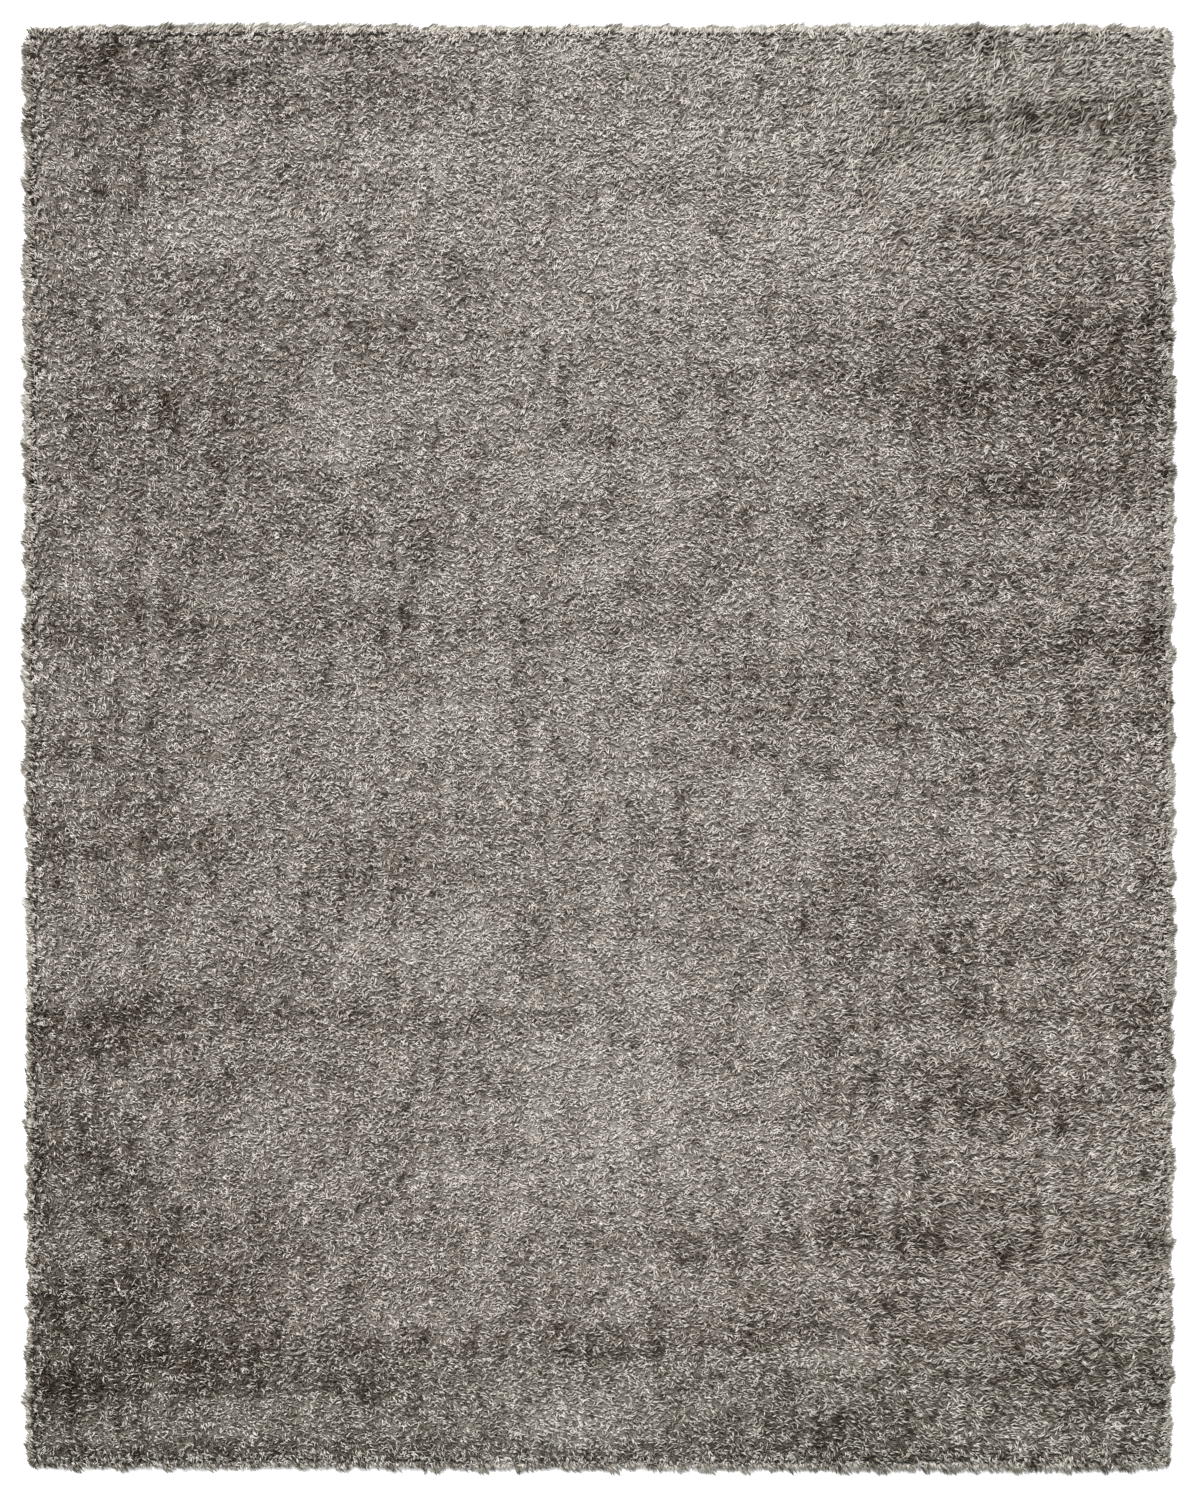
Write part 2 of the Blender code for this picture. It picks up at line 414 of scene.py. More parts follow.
# loose fibres: drawn-out noise, with its middle values spread over the whole range
noise = {
    "detail": 2.0,
    "distortion": 1.6,
    "middle": (0.34, 0.66),
}


def fibreGroup():
    # short crossing fibres, as a value between 0 and 1
    inputs = (
        ("Position", "NodeSocketVector", None),
        ("Fineness", "NodeSocketFloat", 200.0),
        ("Stretch", "NodeSocketFloat", 0.5),
    )
    group, start, end = addGroup("looseFibres", inputs, (("Fibres", "NodeSocketFloat"),))
    fineness = start.outputs["Fineness"]
    slower = addMaths(group, "MULTIPLY", fineness, start.outputs["Stretch"])
    scale = addNode(group, "ShaderNodeCombineXYZ", {"X": slower, "Y": fineness, "Z": fineness})
    sizes = {0: start.outputs["Position"], 1: scale.outputs["Vector"]}
    place = addNode(group, "ShaderNodeVectorMath", sizes, operation="MULTIPLY")
    woolly = addNode(group, "ShaderNodeTexNoise", {"Vector": place.outputs["Vector"], "Scale": 1.0,
                                                   "Detail": noise["detail"],
                                                   "Distortion": noise["distortion"]})
    spread = addRange(group, woolly.outputs["Fac"], noise["middle"])
    group.links.new(spread, end.inputs["Fibres"])
    return group


yarn = {
    "hues": 3,                 # from warm to greener
    "shades": 64,              # the map has a column for each shade of each hue
    "columnShare": 0.88,       # how much of its column a yarn covers
    "overFloor": 0.0005,
    "toneEnds": (0.01, 0.99),  # no yarn is dyed darker or paler than this
    "rootLight": 0.08,         # how much light reaches the foot of a yarn
    "rootTo": 0.05,            # share of its length up to where it's darkest
    "tipFrom": 0.60,           # share of its length from where it's fully lit
    "plies": 3.0,
    "twists": 9.0,
    "plyEdge": 0.4,            # where a ply's back begins, on its wave from -1 to 1
    "grooveLight": 0.74,
    "grooveRoughness": 0.96,
    "roughness": 0.84,
    "bump": (0.35, 0.0006),    # strength, depth
    "sheen": 0.12,
    "sheenRoughness": 0.5,
    "specular": 0.25,
}


def yarnMaterial(dyeAndShade):
    material, tree, shader = newMaterial("spunYarn")
    # the map holds one hue and shade in each column, and runs from root to tip
    uv = addNode(tree, "ShaderNodeUVMap", uv_map="OFBake")
    place = addNode(tree, "ShaderNodeSeparateXYZ", {"Vector": uv.outputs["UV"]})
    column = addMaths(tree, "MULTIPLY", place.outputs["X"], yarn["hues"] * yarn["shades"])
    whole = addMaths(tree, "FLOOR", column)
    tone = addMaths(tree, "DIVIDE", addMaths(tree, "MODULO", whole, yarn["shades"]), yarn["shades"] - 1)
    hue = addMaths(tree, "FLOOR", addMaths(tree, "DIVIDE", whole, yarn["shades"]))
    greener = addMaths(tree, "DIVIDE", hue, yarn["hues"] - 1)
    across = addMaths(tree, "FRACT", column)
    # painted shade: the colour darkens from the tip down to the root, where less light reaches
    depth = addRange(tree, place.outputs["Y"], (yarn["rootTo"], yarn["tipFrom"]), (yarn["rootLight"], 1.0),
                     interpolation_type="SMOOTHSTEP")
    # plies wind round the yarn, with a groove between each two, painted darker as painted shade
    sideways = addMaths(tree, "MULTIPLY", across, yarn["plies"] * 2 * math.pi)
    wound = addMaths(tree, "MULTIPLY_ADD", place.outputs["Y"], yarn["twists"], sideways)
    ply = addMaths(tree, "SINE", wound)
    groove = addRange(tree, ply, (-1.0, yarn["plyEdge"]), (yarn["grooveLight"], 1.0))
    light = addMaths(tree, "MULTIPLY", depth, groove)
    dyed = useGroup(tree, dyeAndShade, {"Tone": tone, "Greener": greener, "Light": light})
    tree.links.new(dyed, shader.inputs["Base Color"])
    rough = addRange(tree, ply, (-1.0, yarn["plyEdge"]), (yarn["grooveRoughness"], yarn["roughness"]))
    tree.links.new(rough, shader.inputs["Roughness"])
    addBump(tree, shader, ply, *yarn["bump"])
    shader.inputs["Sheen Weight"].default_value = yarn["sheen"]
    shader.inputs["Sheen Roughness"].default_value = yarn["sheenRoughness"]
    shader.inputs["Specular IOR Level"].default_value = yarn["specular"]
    return material


# pile bed: the crowded lower half of the pile, which shows between the yarns, its colour darkened with
# painted shade
bed = {
    "columns": 98,
    "rows": 122,
    "inset": 0.026,
    "netHeight": 0.1,           # from where the net is dropped on the rug
    "depth": 0.0105,            # under the top of the pile
    "lumps": (0.0012, 0.03, 8),     # most, size, seed
    "skirt": ((0.006, -0.004), (0.002, -0.006)),   # outwards, down
    "bottom": 0.002,
    "fibres": 340.0,            # in a metre
    "stretch": 0.6,             # how many there are along X for each along Y
    "bump": (0.6, 0.002),       # strength, depth
    "roughness": 0.95,
    "specular": 0.1,
    "smoothTo": 60.0,           # degrees
    "tone": 0.42,
    "toneSpread": 0.25,         # between its darkest and palest fibres, either way
    "gaps": (0.10, 0.55),       # the fibre value where a gap's painted shade is deepest, and where it ends
    "lights": (0.02, 0.50),     # how much light reaches those
}


def bedMaterial(dyeAndShade, fibres):
    material, tree, shader = newMaterial("pileDepth")
    place = addNode(tree, "ShaderNodeTexCoord")
    loose = useGroup(tree, fibres, {"Position": place.outputs["Object"], "Fineness": bed["fibres"],
                                    "Stretch": bed["stretch"]})
    spread = addRange(tree, loose, after=(-bed["toneSpread"], bed["toneSpread"]))
    # the tone carries the pile's painted sheen and shade from lying flat or standing up
    brushed = addNode(tree, "ShaderNodeAttribute", attribute_name="toneWithPaintedSheenAndShade")
    tone = addMaths(tree, "ADD", brushed.outputs["Fac"], spread)
    # painted shade: dark gaps between the fibres
    light = addRange(tree, loose, bed["gaps"], bed["lights"])
    dyed = useGroup(tree, dyeAndShade, {"Tone": tone, "Light": light})
    tree.links.new(dyed, shader.inputs["Base Color"])
    addBump(tree, shader, loose, *bed["bump"])
    shader.inputs["Roughness"].default_value = bed["roughness"]
    shader.inputs["Specular IOR Level"].default_value = bed["specular"]
    return material


def deselectAll():
    if bpy.context.object and bpy.context.object.mode != "OBJECT":
        bpy.ops.object.mode_set(mode="OBJECT")
    bpy.ops.object.select_all(action="DESELECT")


def pointsOf(mesh):
    points = np.empty(len(mesh.vertices) * 3)
    mesh.vertices.foreach_get("co", points)
    return points.reshape(-1, 3)


def trianglesIn(piece):
    return sum(len(face.vertices) - 2 for face in piece.data.polygons)


def insideRug(inset):
    # the rug's width and length, less this on every side
    return rug["width"] - 2 * inset, rug["length"] - 2 * inset


def addGrid(name, made, height):
    deselectAll()
    bpy.ops.mesh.primitive_grid_add(x_subdivisions=made["columns"], y_subdivisions=made["rows"], size=1.0)
    grid = bpy.context.object
    grid.name = name
    bpy.ops.object.mode_set(mode="EDIT")
    bpy.ops.mesh.select_all(action="SELECT")
    bpy.ops.transform.resize(value=(*insideRug(made["inset"]), 1.0))
    bpy.ops.transform.translate(value=(0, 0, height))
    bpy.ops.object.mode_set(mode="OBJECT")
    return grid


def addTopNet():
    # a net laid over the top of the rug, which reads off the height of its lumps
    net = addGrid("pile_bed", bed, bed["netHeight"])
    wrap = net.modifiers.new("layOnRug", "SHRINKWRAP")
    wrap.target = cadRug
    wrap.wrap_method = "PROJECT"
    wrap.use_project_z = True
    wrap.use_negative_direction = True
    wrap.use_positive_direction = False
    bpy.ops.object.modifier_apply(modifier=wrap.name)
    return net


def heightsOf(net):
    # the net's heights as a table of columns and rows
    points = pointsOf(net.data)
    order = np.lexsort((points[:, 1].round(4), points[:, 0].round(4)))
    return points[order][:, 2].reshape(bed["columns"] + 1, bed["rows"] + 1)


def topAt(x, y, heights):
    # the height of the pile's top here, read between the net's points
    spanX, spanY = insideRug(bed["inset"])
    column = np.clip((x / spanX + 0.5) * bed["columns"], 0, bed["columns"] - 1e-6)
    row = np.clip((y / spanY + 0.5) * bed["rows"], 0, bed["rows"] - 1e-6)
    i, j = column.astype(int), row.astype(int)
    u, v = column - i, row - j
    return (heights[i, j] * (1 - u) * (1 - v) + heights[i + 1, j] * u * (1 - v)
            + heights[i, j + 1] * (1 - u) * v + heights[i + 1, j + 1] * u * v)


def finishBed(net, material):
    # sinks the net to the bed's own height, then turns its rim down and closes it underneath
    points = pointsOf(net.data)
    points[:, 2] -= bed["depth"]
    most, size, seed = bed["lumps"]
    points[:, 2] += most * drift(points[:, 0], points[:, 1], size, size, seed)
    net.data.vertices.foreach_set("co", points.ravel())
    net.data.update()
    deselectAll()
    net.select_set(True)
    bpy.context.view_layer.objects.active = net
    bpy.ops.object.mode_set(mode="EDIT")
    bpy.ops.mesh.select_mode(type="EDGE")
    bpy.ops.mesh.select_all(action="DESELECT")
    bpy.ops.mesh.select_non_manifold()
    for outwards, down in bed["skirt"]:
        bpy.ops.mesh.extrude_edges_move()
        grow = (1 + 2 * outwards / rug["width"], 1 + 2 * outwards / rug["length"], 1)
        bpy.ops.transform.resize(value=grow, center_override=(0, 0, 0))
        bpy.ops.transform.translate(value=(0, 0, down))
    bpy.ops.mesh.extrude_edges_move()
    bpy.ops.transform.resize(value=(1, 1, 0), center_override=(0, 0, bed["bottom"]))
    bpy.ops.mesh.edge_face_add()
    bpy.ops.mesh.select_all(action="SELECT")
    bpy.ops.mesh.normals_make_consistent(inside=False)
    bpy.ops.object.mode_set(mode="OBJECT")
    bpy.ops.object.shade_smooth_by_angle(angle=math.radians(bed["smoothTo"]))
    points = pointsOf(net.data)
    # the bed's tone, with the painted sheen and shade of how flat the pile lies
    brushed = net.data.attributes.new("toneWithPaintedSheenAndShade", "FLOAT", "POINT")
    tone = bed["tone"] + nap["sheenAndShadeShare"] * flatness(points[:, 0], points[:, 1])
    brushed.data.foreach_set("value", tone)
    net.data.materials.append(material)


# ground cloth: the flat weave that holds the pile, with its back to the floor
ground = {
    "inset": 0.019,
    "thickness": 0.004,
    "columns": 24,
    "rows": 30,
    "threadPitch": 0.0032,
    "fibres": 900.0,            # in a metre
    "stretch": 0.4,
    "fibreShare": 0.4,          # how much the loose fibres count beside the weave
    "tones": (0.25, 0.72),
    "light": 0.9,
    "bump": (0.5, 0.0008),      # strength, depth
    "roughness": 0.95,
    "specular": 0.1,
}


def clothMaterial(dyeAndShade, fibres):
    material, tree, shader = newMaterial("groundWeave")
    place = addNode(tree, "ShaderNodeTexCoord")
    apart = addNode(tree, "ShaderNodeSeparateXYZ", {"Vector": place.outputs["Object"]})
    waves = []
    for axis in ("X", "Y"):
        turned = addMaths(tree, "MULTIPLY", apart.outputs[axis], math.pi / ground["threadPitch"])
        waves.append(addMaths(tree, "SINE", turned))
    # warp lies over weft on every other crossing
    weave = addRange(tree, addMaths(tree, "MULTIPLY", *waves), (-1.0, 1.0))
    loose = useGroup(tree, fibres, {"Position": place.outputs["Object"], "Fineness": ground["fibres"],
                                    "Stretch": ground["stretch"]})
    mixed = addMaths(tree, "MULTIPLY_ADD", loose, ground["fibreShare"], weave)
    tone = addRange(tree, mixed, (0.0, 1 + ground["fibreShare"]), ground["tones"])
    dyed = useGroup(tree, dyeAndShade, {"Tone": tone, "Light": ground["light"]})
    tree.links.new(dyed, shader.inputs["Base Color"])
    addBump(tree, shader, mixed, *ground["bump"])
    shader.inputs["Roughness"].default_value = ground["roughness"]
    shader.inputs["Specular IOR Level"].default_value = ground["specular"]
    return material


def addGroundCloth(material):
    cloth = addGrid("ground_cloth", ground, ground["thickness"])
    thick = cloth.modifiers.new("thickness", "SOLIDIFY")
    thick.thickness = ground["thickness"]
    thick.offset = -1
    bpy.ops.object.modifier_apply(modifier=thick.name)
    cloth.data.materials.append(material)
    return cloth


def modelYarn():
    # one yarn: its back narrows from the bend to the tip, and its root is a point under the bend
    deselectAll()
    bpy.ops.mesh.primitive_cone_add(vertices=3, radius1=1.0, depth=1.0, end_fill_type="NGON",
                                    rotation=(0, math.radians(180), math.radians(-90)))
    model = bpy.context.object
    bpy.ops.object.transform_apply()
    bpy.ops.object.mode_set(mode="EDIT")
    bpy.ops.mesh.select_all(action="SELECT")
    bpy.ops.mesh.normals_make_consistent(inside=False)
    bpy.ops.object.mode_set(mode="OBJECT")
    points = pointsOf(model.data).round(3)
    corners = np.array([face.vertices[:] for face in model.data.polygons])
    bpy.data.objects.remove(model)
    along = np.where(points[:, 2] < 0, 0.0, np.where(points[:, 0] < 0, 0.5, 1.0))
    return {"along": along, "side": np.sign(points[:, 1]), "corners": corners}


def heading(turn, rise):
    # unit vectors from a turn on the floor and an angle above it, both in radians
    return np.stack([np.cos(turn) * np.cos(rise), np.sin(turn) * np.cos(rise), np.sin(rise)], axis=1)


def unit(vectors):
    return vectors / (np.linalg.norm(vectors, axis=1)[:, None] + 1e-9)


def wovenInto(name, model, paths, width, roll, tone, greener, material):
    # one mesh of many yarns, each bent over its path's root, middle and tip
    count = len(paths)
    root, middle, tip = paths[:, 0], paths[:, 1], paths[:, 2]
    back = tip - middle
    level = unit(np.stack([-back[:, 1], back[:, 0], np.zeros(count)], axis=1))
    up = unit(np.cross(back, level))
    sideways = level * np.cos(roll)[:, None] + up * np.sin(roll)[:, None]
    # a yarn that bends the other way has its sides changed over, so that its faces still look outwards
    bentUnder = np.sum(sideways * np.cross(back, middle - root), axis=1) > 0
    sideways[bentUnder] *= -1
    points = np.empty((count, len(model["along"]), 3))
    for vertex, (along, side) in enumerate(zip(model["along"], model["side"])):
        place = root if along == 0 else middle if along < 1 else tip
        points[:, vertex] = place + sideways * (side * width / 2)[:, None]
    points[..., 2] = np.maximum(points[..., 2], yarn["overFloor"])
    faces = model["corners"][None] + (np.arange(count) * len(model["along"]))[:, None, None]
    # map: each hue and shade of yarn has its own column, root at the bottom and tip at the top
    across = 0.5 + yarn["columnShare"] / 2 * model["side"][model["corners"]]
    hue = np.clip(greener * yarn["hues"], 0, yarn["hues"] - 1).astype(int)
    column = hue * yarn["shades"] + np.clip(tone * yarn["shades"], 0, yarn["shades"] - 1).astype(int)
    uv = np.empty((count, *model["corners"].shape, 2))
    uv[..., 0] = (column[:, None, None] + across[None]) / (yarn["hues"] * yarn["shades"])
    uv[..., 1] = model["along"][model["corners"]][None]
    mesh = bpy.data.meshes.new(name)
    mesh.vertices.add(points.shape[0] * points.shape[1])
    mesh.vertices.foreach_set("co", points.ravel())
    mesh.loops.add(faces.size)
    mesh.loops.foreach_set("vertex_index", faces.ravel())
    mesh.polygons.add(faces.size // 3)
    mesh.polygons.foreach_set("loop_start", np.arange(0, faces.size, 3))
    mesh.uv_layers.new(name="OFBake")
    mesh.uv_layers["OFBake"].data.foreach_set("uv", uv.ravel())
    mesh.update(calc_edges=True)
    mesh.shade_smooth()
    mesh.materials.append(material)
    piece = bpy.data.objects.new(name, mesh)
    bpy.context.scene.collection.objects.link(piece)
    return piece


# pile: yarns in rows, gathered in tufts and leaning over, each a slim closed form
pile = {
    "bands": 6,
    "rowPitch": nap["rowPitch"] / 5,    # five rows of roots in each woven row
    "yarnPitch": 0.00600,
    "inset": 0.012,
    "shoulder": 0.016,         # how wide the rounded edge is
    "shoulderDrop": 0.0065,
    "shoulderDroop": 30.0,     # degrees
    "thicker": (0.000, 0.028, 0.55),    # from here to here behind the edge, this share more yarns
    "rootDepth": 0.0140,       # under the top of the pile
    "width": 0.0022,           # of a yarn, at its bend
    "roll": 9.0,               # how differently the yarns' backs face, in degrees
    "rise": 0.0125,            # length of the lower half
    "fall": 0.0100,            # length of the upper half
    "riseAngle": 62.0,         # degrees above the floor
    "fallAngle": 14.0,
    "tuftPitch": 0.0145,
    "tuftWobble": (0.5, 1.3),  # how far a tuft's outline strays and the size of its waves, in pitches
    "tuftSeed": 31,
    "tuftTurn": 33.0,          # how differently the tufts lean, in degrees
    "yarnTurn": 29.0,          # and the yarns of one tuft
    "bendTurn": 14.0,          # and the two halves of one yarn
    "tuftLift": 0.0012,
    "rootLift": 0.0010,
    "tuftLie": 8.0,            # how differently the tufts slope, in degrees
    "yarnLie": 8.0,            # and the yarns of one tuft
    "lieDown": (5.0, 4.0),     # how much lower the two halves lie in the flat places, in degrees
    "gather": 0.30,            # how far a tuft's roots close up
    "strayX": 0.50,            # how far a root strays along its row, in pitches
    "strayY": 0.38,            # and across it
    "riseSpread": (0.82, 1.12),
    "fallSpread": (0.75, 1.20),
    "widthSpread": (0.80, 1.20),
    "overRim": (0.85, 0.028, 0.80),     # how readily a tuft leans over the rim, how far back, how varied
    "cornerBlend": 0.015,      # over this width the outward way turns at a corner
    "steeper": (15.0, 0.035),  # how much steeper the yarns rise at the rim, and how far back from it
    "tone": 0.575,
    "mottle": 0.29,            # how differently the yarns are dyed
    "tuftTone": 0.14,
    "rowTone": 0.05,           # how much the shade swings across each woven row
    "tuftyTone": (0.12, 0.020, 0.018, 9),   # most, size along X, size along Y, seed
    "greener": 0.12,
    "greenerSpread": 0.30,
    "bandMargin": 0.01,        # the outer bands reach this far past the pile
    "seed": 71,
    # how much more or less there is of each, where the pile is combed and where it is tufty
    "brushed": {
        "tuftTurn": (-0.50, 0.50),
        "yarnTurn": (-0.50, -0.35),
        "fall": (0.60, 0.00),
        "gather": (0.00, 0.60),
        "mottle": (-0.35, -0.20),
        "tuftTone": (-0.40, 0.60),
    },
}


def tuftsOf(x, y, pitch, seed):
    # which tuft each yarn belongs to, as chance numbers that the tuft's yarns share
    most, size = pile["tuftWobble"]
    wobbleX = x + most * pitch * drift(x, y, pitch * size, pitch * size, seed)
    wobbleY = y + most * pitch * drift(x, y, pitch * size, pitch * size, seed + 1)
    row = np.floor(wobbleY / pitch).astype(int)
    column = np.floor(wobbleX / pitch + 0.5 * (row % 2)).astype(int)
    middleX = (column + 0.5 - 0.5 * (row % 2)) * pitch
    middleY = (row + 0.5) * pitch
    cells = 512
    chance = np.random.default_rng(seed + 2).normal(0, 1, (5, cells, cells))
    return middleX, middleY, chance[:, column % cells, row % cells]


def insidePile():
    return rug["width"] / 2 - pile["inset"], rug["length"] / 2 - pile["inset"]


def scatterRoots(rng):
    # where the yarns are rooted: in rows, inside the rounded corners, and thicker near the edge
    halfX, halfY = insidePile()
    x = np.linspace(-halfX, halfX, int(2 * halfX / pile["yarnPitch"]))
    y = np.linspace(-halfY, halfY, int(2 * halfY / pile["rowPitch"]))
    x, y = (part.ravel() for part in np.meshgrid(x, y, indexing="ij"))
    x = x + rng.uniform(-pile["strayX"], pile["strayX"], len(x)) * pile["yarnPitch"]
    y = y + rng.uniform(-pile["strayY"], pile["strayY"], len(x)) * pile["rowPitch"]
    corner = rug["cornerRadius"]
    pastX, pastY = np.abs(x) - (halfX - corner), np.abs(y) - (halfY - corner)
    inside = ~((pastX > 0) & (pastY > 0) & (np.hypot(pastX, pastY) > corner))
    x, y = x[inside], y[inside]
    edge = np.minimum(halfX - np.abs(x), halfY - np.abs(y))
    nearest, furthest, share = pile["thicker"]
    more = (edge > nearest) & (edge < furthest) & (rng.uniform(0, 1, len(x)) < share)
    x = np.concatenate([x, x[more] + rng.uniform(-0.5, 0.5, more.sum()) * pile["yarnPitch"]])
    y = np.concatenate([y, y[more] + rng.uniform(-0.5, 0.5, more.sum()) * pile["rowPitch"]])
    return x, y


def brushedBy(name, combed, tufty):
    # how much of this there is here, beside 1 where the pile is neither combed nor tufty
    whereCombed, whereTufty = pile["brushed"][name]
    return 1 + whereCombed * combed + whereTufty * tufty


def addPile(heights, model, material):
    rng = np.random.default_rng(pile["seed"])
    halfX, halfY = insidePile()
    x, y = scatterRoots(rng)
    count = len(x)
    flat = flatness(x, y)
    lie = np.clip(flat, -1.5, 1.5)
    tuftX, tuftY, chance = tuftsOf(x, y, pile["tuftPitch"], pile["tuftSeed"])
    most, size, seed = nap["leanDrift"]
    lean = nap["lean"] + spots(x, y, nap["swirls"]) + most * drift(x, y, size, size, seed)
    # near the rim more and more tufts lean out over it
    edgeX, edgeY = halfX - np.abs(x), halfY - np.abs(y)
    edge = np.minimum(edgeX, edgeY)
    outX = np.sign(x) * np.exp(-edgeX / pile["cornerBlend"])
    outY = np.sign(y) * np.exp(-edgeY / pile["cornerBlend"])
    outwards = np.degrees(np.arctan2(outY, outX))
    readily, farBack, varied = pile["overRim"]
    overRim = readily - edge / farBack + varied * chance[4] > 0
    lean = np.where(overRim, outwards + leanOver(outwards)[0], lean)
    shoulder = np.clip(1 - edge / pile["shoulder"], 0, 1)
    brushed = np.clip(spots(x, y, nap["combed"]), -1, 1)
    combed, tufty = np.maximum(brushed, 0), np.maximum(-brushed, 0)
    # each yarn rises from its root to its bend, and falls over from there to its tip
    tuftTurn = pile["tuftTurn"] * brushedBy("tuftTurn", combed, tufty)
    yarnTurn = pile["yarnTurn"] * brushedBy("yarnTurn", combed, tufty)
    turn = lean + tuftTurn * chance[0] + yarnTurn * rng.normal(0, 1, count)
    bend = turn + pile["bendTurn"] * rng.normal(0, 1, count)
    mostSteeper, farBack = pile["steeper"]
    steeper = mostSteeper * np.exp(-(edge / farBack) ** 2)
    riseAngle = pile["riseAngle"] + steeper - pile["lieDown"][0] * lie
    riseAngle = riseAngle + pile["yarnLie"] * rng.normal(0, 1, count) + pile["tuftLie"] * chance[1]
    fallAngle = pile["fallAngle"] - pile["lieDown"][1] * lie
    fallAngle = fallAngle + pile["yarnLie"] * rng.normal(0, 1, count) + pile["tuftLie"] * chance[1]
    fallAngle -= pile["shoulderDroop"] * shoulder * overRim
    rise = pile["rise"] * rng.uniform(*pile["riseSpread"], count)
    fall = pile["fall"] * rng.uniform(*pile["fallSpread"], count) * brushedBy("fall", combed, tufty)
    gather = pile["gather"] * brushedBy("gather", combed, tufty)
    x = x + gather * (tuftX - x)
    y = y + gather * (tuftY - y)
    root = np.stack([x, y, topAt(x, y, heights) - pile["rootDepth"]], axis=1)
    root[:, 2] += pile["tuftLift"] * chance[2] + pile["rootLift"] * rng.normal(0, 1, count)
    root[:, 2] -= pile["shoulderDrop"] * shoulder ** 2
    middle = root + heading(np.radians(turn), np.radians(riseAngle)) * rise[:, None]
    tip = middle + heading(np.radians(bend), np.radians(fallAngle)) * fall[:, None]
    paths = np.stack([root, middle, tip], axis=1)
    # the tone follows how flat the pile lies, a painted sheen where flat and painted shade where upright,
    # and the tuft, the yarn and the woven row
    mottle = pile["mottle"] * brushedBy("mottle", combed, tufty)
    tuftTone = pile["tuftTone"] * brushedBy("tuftTone", combed, tufty) * chance[3]
    tone = pile["tone"] + nap["sheenAndShadeShare"] * flat + tuftTone + mottle * rng.normal(0, 1, count)
    rowLine = np.cos(2 * math.pi * y / nap["rowPitch"])
    mostTufty, sizeX, sizeY, seed = pile["tuftyTone"]
    tone += pile["rowTone"] * rowLine + mostTufty * tufty * drift(x, y, sizeX, sizeY, seed)
    tone = np.clip(tone, *yarn["toneEnds"])
    width = pile["width"] * rng.uniform(*pile["widthSpread"], count)
    greener = pile["greener"] + spots(x, y, nap["greener"], 4)
    greener = greener + pile["greenerSpread"] * rng.normal(0, 1, count)
    roll = np.radians(pile["roll"]) * rng.normal(0, 1, count)
    pieces = []
    margin = pile["bandMargin"]
    edges = np.linspace(-halfY - margin, halfY + margin, pile["bands"] + 1)
    for band in range(pile["bands"]):
        here = (y >= edges[band]) & (y < edges[band + 1])
        pieces.append(wovenInto(f"pile_rows_{band + 1}", model, paths[here], width[here], roll[here],
                                tone[here], greener[here], material))
        print("pile rows", band + 1, "yarns", int(here.sum()), "triangles", trianglesIn(pieces[-1]))
    return pieces


# rim: tufts that lean out past the edge and droop to the floor
rim = {
    "pitch": 0.0026,           # between the yarns of a tier
    "tuftPitch": 0.020,
    "tiers": (
        # inset of root, height of root, share of the reach, inset of tip, height of tip
        (0.014, 0.0040, 1.0, -0.0045, 0.0032),
        (0.018, 0.0075, 0.9, -0.0020, 0.0075),
        (0.022, 0.0115, 0.6, 0.0010, 0.0125),
    ),
    "tierShift": 0.25,         # how far the tufts of each tier stand beside those of the last, in tufts
    "furthest": 0.0150,        # no tip reaches further past the average edge
    "bulge": 0.0026,           # how much further the middle of a tuft reaches
    "tuftReach": 0.0018,       # how differently the tufts reach
    "yarnReach": 0.0013,       # and the yarns of one tuft
    "drawnIn": 0.0010,         # how much less they all reach
    "rootStray": 0.0030,
    "rootLift": 0.0015,
    "gather": 0.5,             # how far a tuft's tips close up
    "tuftSway": 0.0050,        # how far the tips sway along the rim
    "yarnSway": 0.0045,
    "tuftLift": 0.0012,
    "tipLift": 0.0015,
    "bendAt": 0.52,            # share of the way from root to tip
    "bendSway": 0.0030,
    "bendLift": (0.0045, 0.0012),       # on average, and how differently
    # the rim's yarns are set darker than the pile's, as painted shade on the drooping rim
    "tone": 0.39,
    "sheenAndShadeShare": 0.6,          # how much of the pile's painted sheen and shade behind it it takes
    "tuftTone": 0.12,
    "mottle": 0.13,
    "greener": 0.9,
    "greenerSpread": 0.3,
    "width": 0.0029,
    "widthSpread": (0.80, 1.20),
    "roll": 8.0,
    "seed": 19,
    "tuftSeed": 24,
    # how the solid's locks are felt for: from this far out, this far in, at these heights
    "feelFrom": 0.05,
    "feelDepth": 0.09,
    "feelHeights": (0.005, 0.009, 0.014),
    "leastReach": -0.008,
    "evened": (6, 2.5),        # over so many steps each way, and how softly
}


def rimPath(distance):
    # points and outward ways along the rug's average edge, anticlockwise from the right side
    radius = rug["cornerRadius"]
    straightX, straightY = rug["width"] - 2 * radius, rug["length"] - 2 * radius
    arc = math.pi / 2 * radius
    total = 2 * (straightX + straightY) + 4 * arc
    point, way = np.empty((len(distance), 2)), np.empty((len(distance), 2))
    left = distance % total
    turn = 0.0
    middle = np.array([straightX / 2, -straightY / 2])
    for length in (straightY, straightX, straightY, straightX):
        out = np.array([math.cos(turn), math.sin(turn)])
        forward = np.array([-math.sin(turn), math.cos(turn)])
        on = (left >= 0) & (left < length)
        point[on] = middle + out * radius + forward * left[on][:, None]
        way[on] = out
        left = left - length
        middle = middle + forward * length
        on = (left >= 0) & (left < arc)
        angle = turn + left[on] / radius
        way[on] = np.stack([np.cos(angle), np.sin(angle)], axis=1)
        point[on] = middle + way[on] * radius
        left = left - arc
        turn += math.pi / 2
    return point, way


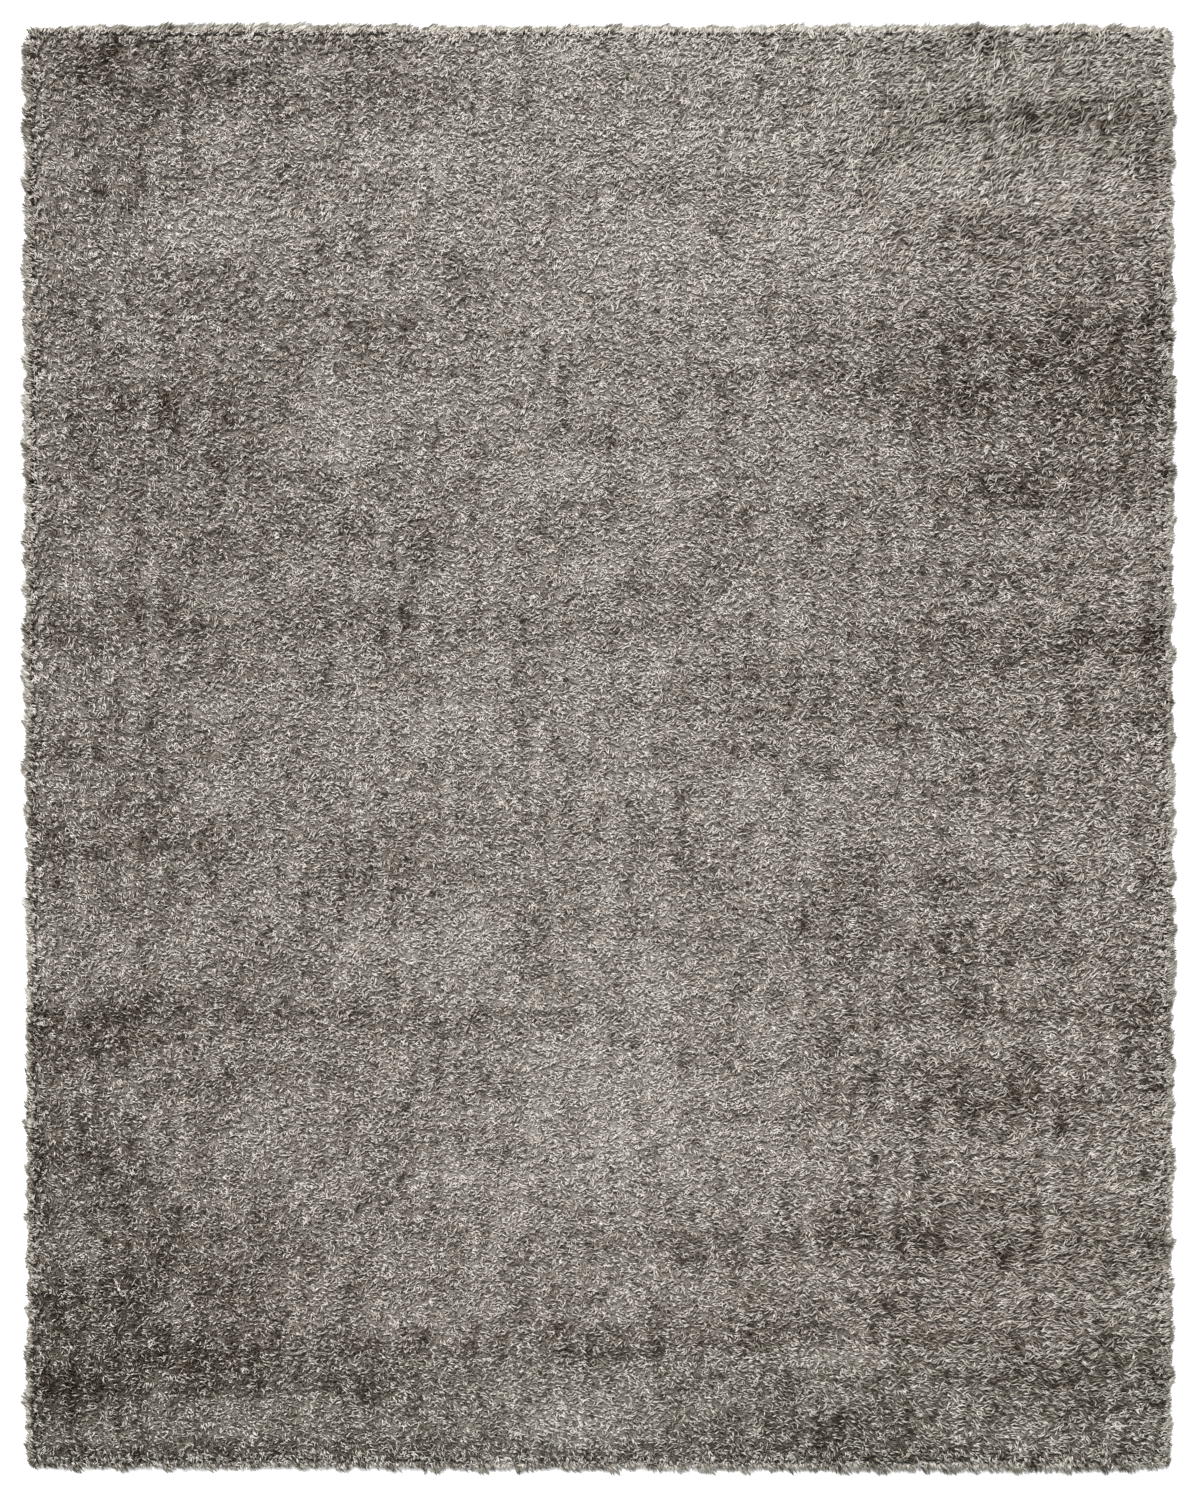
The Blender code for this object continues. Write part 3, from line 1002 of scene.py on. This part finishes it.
def reachOfLocks(point, way):
    # how far the rug reaches past its average edge here
    reach = np.full(len(point), rim["leastReach"])
    for height in rim["feelHeights"]:
        for n in range(len(point)):
            start = Vector((*(point[n] + way[n] * rim["feelFrom"]), height))
            hit, place, _, _ = cadRug.ray_cast(start, Vector((*-way[n], 0.0)), distance=rim["feelDepth"])
            if hit:
                reach[n] = max(reach[n], rim["feelFrom"] - (place - start).length)
    return reach


def addRim(model, material):
    rng = np.random.default_rng(rim["seed"])
    total = 2 * (rug["width"] + rug["length"]) - (8 - 2 * math.pi) * rug["cornerRadius"]
    along = np.arange(0, total, rim["pitch"])
    reach = reachOfLocks(*rimPath(along))
    # the reach is evened out along the rim, as soft yarn would
    steps, softness = rim["evened"]
    soft = np.exp(-0.5 * (np.arange(-steps, steps + 1) / softness) ** 2)
    reach = np.convolve(np.pad(reach, steps, mode="wrap"), soft / soft.sum(), "valid")
    print("rim reach", reach.min(), reach.mean(), reach.max())
    count = len(along)
    paths, tones = [], []
    for tier, (rootInset, rootHeight, share, tipInset, tipHeight) in enumerate(rim["tiers"]):
        place = along + rng.uniform(-0.5, 0.5, count) * rim["pitch"]
        start, out = rimPath(place)
        side = np.stack([-out[:, 1], out[:, 0]], axis=1)
        where = place / rim["tuftPitch"] + rim["tierShift"] * tier
        tuft = np.floor(where).astype(int)
        chance = np.random.default_rng(rim["tuftSeed"] + tier).normal(0, 1, (4, tuft.max() + 2))[:, tuft]
        toTuft = (tuft + 0.5 - where) * rim["tuftPitch"]
        bulge = 1 - (2 * toTuft / rim["tuftPitch"]) ** 2
        turn, shorter, lobes, ragged = leanOver(np.degrees(np.arctan2(out[:, 1], out[:, 0])))
        lobe = reach.mean() + lobes * (np.interp(place % total, along, reach) - reach.mean())
        far = share * lobe - tipInset
        uneven = rim["bulge"] * bulge + rim["tuftReach"] * chance[0]
        uneven += rim["yarnReach"] * rng.normal(0, 1, count)
        far += ragged * (uneven - rim["drawnIn"]) - shorter
        far = np.minimum(far, rim["furthest"])
        inset = rootInset + rim["rootStray"] * rng.normal(0, 1, count)
        rootZ = rootHeight + rim["rootLift"] * rng.normal(0, 1, count)
        root = np.column_stack([start - out * inset[:, None], rootZ])
        sway = rim["gather"] * toTuft + rim["tuftSway"] * chance[1]
        sway += rim["yarnSway"] * rng.normal(0, 1, count)
        sway += (far + inset) * np.tan(np.radians(turn))
        tipZ = tipHeight + rim["tuftLift"] * np.abs(chance[2])
        tipZ += rim["tipLift"] * np.abs(rng.normal(0, 1, count))
        tip = np.column_stack([start + out * far[:, None] + side * sway[:, None], tipZ])
        middle = (1 - rim["bendAt"]) * root + rim["bendAt"] * tip
        middle[:, :2] += side * (rim["bendSway"] * rng.normal(0, 1, count))[:, None]
        middle[:, 2] += rim["bendLift"][0] + rim["bendLift"][1] * rng.normal(0, 1, count)
        paths.append(np.stack([root, middle, tip], axis=1))
        # the painted sheen and shade of the pile behind the rim
        brushed = rim["sheenAndShadeShare"] * nap["sheenAndShadeShare"] * flatness(start[:, 0], start[:, 1])
        tone = rim["tone"] + brushed + rim["tuftTone"] * chance[3]
        tones.append(tone + rim["mottle"] * rng.normal(0, 1, count))
    paths = np.concatenate(paths)
    tone = np.clip(np.concatenate(tones), *yarn["toneEnds"])
    width = rim["width"] * rng.uniform(*rim["widthSpread"], len(paths))
    roll = np.radians(rim["roll"]) * rng.normal(0, 1, len(paths))
    greener = rim["greener"] + rim["greenerSpread"] * rng.normal(0, 1, len(paths))
    piece = wovenInto("rim_tufts", model, paths, width, roll, tone, greener, material)
    print("rim yarns", len(paths), "triangles", trianglesIn(piece))
    return piece


addCamera()
addStudio()
print("camera, light and floor are set")
dyeAndShade = dyeAndShadeGroup()
fibres = fibreGroup()
bedNet = addTopNet()
heights = heightsOf(bedNet)
print("pile top", heights.min(), heights.mean(), heights.max())
yarnModel = modelYarn()
spunYarn = yarnMaterial(dyeAndShade)
pilePieces = addPile(heights, yarnModel, spunYarn)
pilePieces.append(addRim(yarnModel, spunYarn))
finishBed(bedNet, bedMaterial(dyeAndShade, fibres))
pilePieces.append(bedNet)
groundCloth = addGroundCloth(clothMaterial(dyeAndShade, fibres))
print("bed and ground cloth are made")
for piece in pilePieces + [groundCloth]:
    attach(piece, "root")
    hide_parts("shag_rug")
print("triangles in all", sum(trianglesIn(piece) for piece in pilePieces + [groundCloth]))
